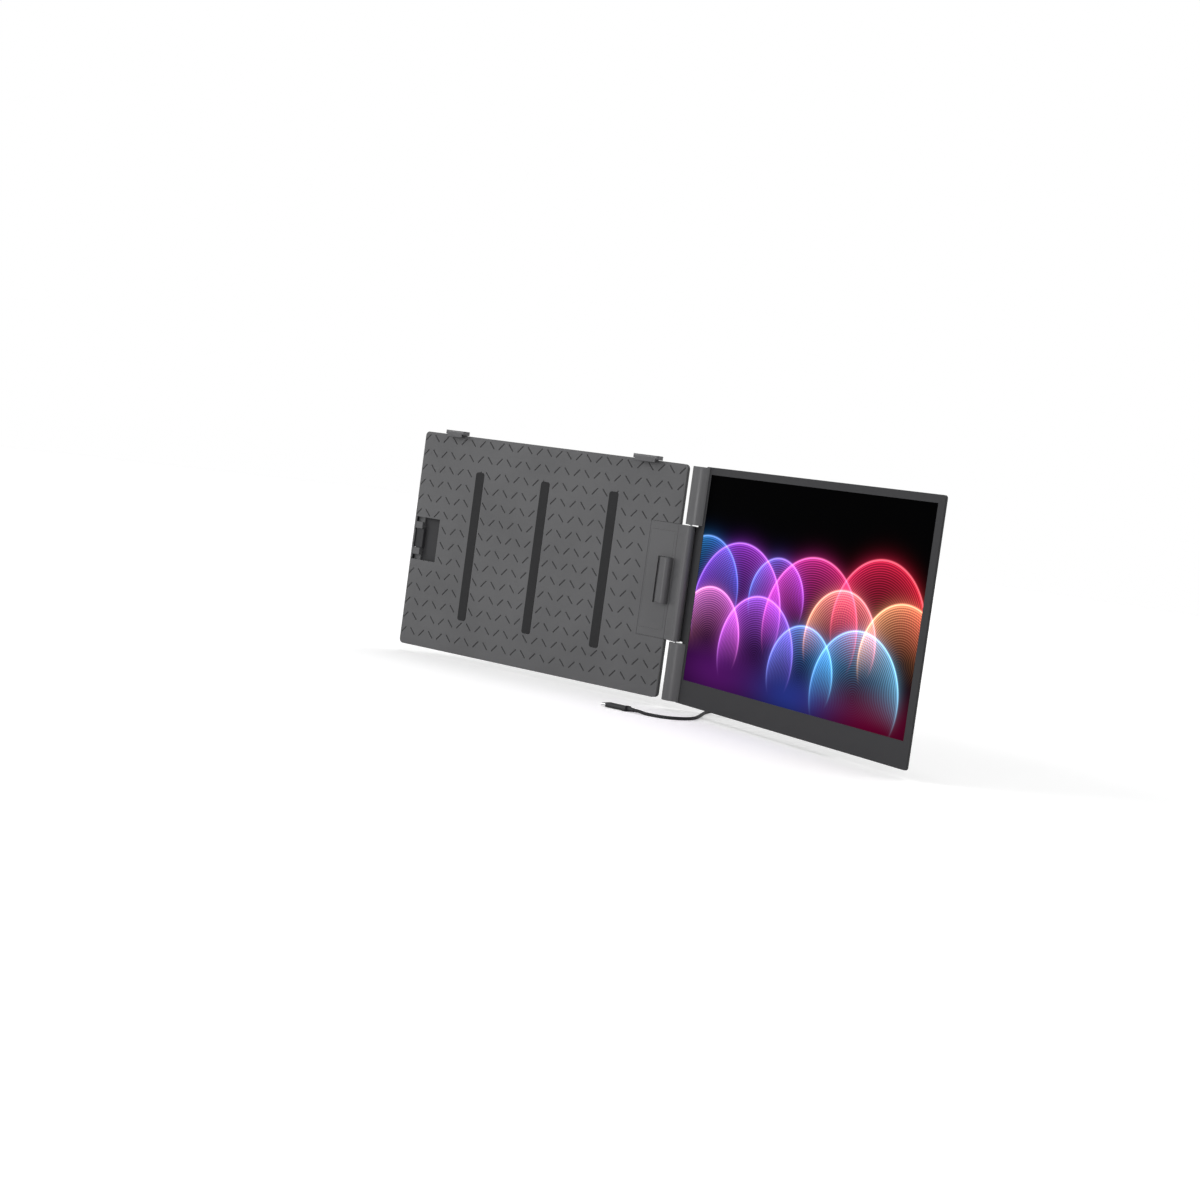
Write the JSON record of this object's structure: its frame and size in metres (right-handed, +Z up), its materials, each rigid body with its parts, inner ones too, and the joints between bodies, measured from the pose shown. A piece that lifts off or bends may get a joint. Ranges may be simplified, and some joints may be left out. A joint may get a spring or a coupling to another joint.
{
  "type": "laptop screen extender",
  "caption": "Clip-on laptop screen extender: a lid bracket with sprung top clips, side hooks and a kickstand, and a second screen on a vertical book hinge.",
  "frame": {"origin": "Centre of the seat that the laptop's lid leans on: the front face of the middle rubber strip, at mid-width and mid-height of the bracket", "axes": "+Z up, +X towards the hinged screen, -Y towards the user"},
  "size_m": [0.7411, 0.2283, 0.2621],
  "materials": {
    "shell": "matt dark grey, fine grain",
    "cover": "satin dark grey",
    "rubber": "soft matt",
    "steel": "satin",
    "tray": "satin",
    "panel": "lit picture behind a clear front",
    "board": "green circuit board",
    "cord": "satin black"
  },
  "bodies": {
    "bracket": {"bracket_shell": "shell", "front_cover": "cover", "rubber_strips": "rubber", "hinge_leaf": "cover", "leaf_cover": "cover", "hinge_pins": "steel", "bracket_screws": "steel", "kickstand_pin": "steel", "top_spring_left": "steel", "top_spring_right": "steel"},
    "top_clip_left": {"top_clip_left": "cover", "top_clip_pads_left": "rubber"},
    "top_clip_right": {"top_clip_right": "cover", "top_clip_pads_right": "rubber"},
    "side_hook_right": {"side_hook_right": "cover", "side_hook_pad_right": "rubber"},
    "side_slider_left": {"side_slider_left": "cover", "flip_hook_pin": "steel"},
    "flip_hook_left": {"flip_hook_left": "shell"},
    "kickstand": {"kickstand": "shell", "kickstand_foot": "rubber"},
    "screen": {"screen_bezel": "shell", "display_panel": "panel", "backlight_tray": "tray", "screen_back": "shell", "hinge_arm_upper": "cover", "hinge_arm_lower": "cover", "torque_sleeves": "steel", "knuckle_caps": "shell", "driver_board": "board", "usb_sockets": "steel", "hdmi_socket": "steel", "screen_screws": "steel", "cable": "cord", "cable_coil": "cord", "laptop_plug": "shell", "laptop_plug_shell": "steel", "screen_plug": "shell", "screen_plug_shell": "steel"},
    "power_button": {"power_button": "cover"},
    "menu_rocker": {"menu_rocker": "cover"}
  },
  "joints": [
    {"name": "screen_hinge", "type": "hinge", "parent": "bracket", "child": "screen", "pos_m": [0.2033, -0.003, 0], "axis": [0, 0, 1], "range_deg": [-160.3, 50]},
    {"name": "top_clip_left_slide", "type": "slide", "parent": "bracket", "child": "top_clip_left", "axis": [0, 0, 1], "range_m": [0, 0.02], "stiffness_N_per_m": 150, "springref_m": -0.02, "deforming": ["top_spring_left"]},
    {"name": "top_clip_right_slide", "type": "slide", "parent": "bracket", "child": "top_clip_right", "axis": [0, 0, 1], "range_m": [0, 0.02], "stiffness_N_per_m": 150, "springref_m": -0.02, "deforming": ["top_spring_right"]},
    {"name": "side_hook_right_slide", "type": "slide", "parent": "bracket", "child": "side_hook_right", "axis": [1, 0, 0], "range_m": [-0.012, 0]},
    {"name": "side_slider_left_slide", "type": "slide", "parent": "bracket", "child": "side_slider_left", "axis": [1, 0, 0], "range_m": [0, 0.024]},
    {"name": "flip_hook_left_fold", "type": "hinge", "parent": "side_slider_left", "child": "flip_hook_left", "pos_m": [-0.1828, 0.0029, 0], "axis": [0, 0, -1], "range_deg": [0, 90]},
    {"name": "kickstand_fold", "type": "hinge", "parent": "bracket", "child": "kickstand", "pos_m": [0, 0.0065, 0.014], "axis": [1, 0, 0], "range_deg": [0, 70]},
    {"name": "power_button_press", "type": "slide", "parent": "screen", "child": "power_button", "axis": [-0.9415, 0.3371, 0], "range_m": [0, 0.0005], "stiffness_N_per_m": 800, "springref_m": -0.0005},
    {"name": "menu_rocker_tilt", "type": "hinge", "parent": "screen", "child": "menu_rocker", "pos_m": [0.44966, -0.07377, -0.0792], "axis": [0.3371, 0.9415, 0], "range_deg": [-4, 4], "stiffness_Nm_per_rad": 0.02}
  ]
}
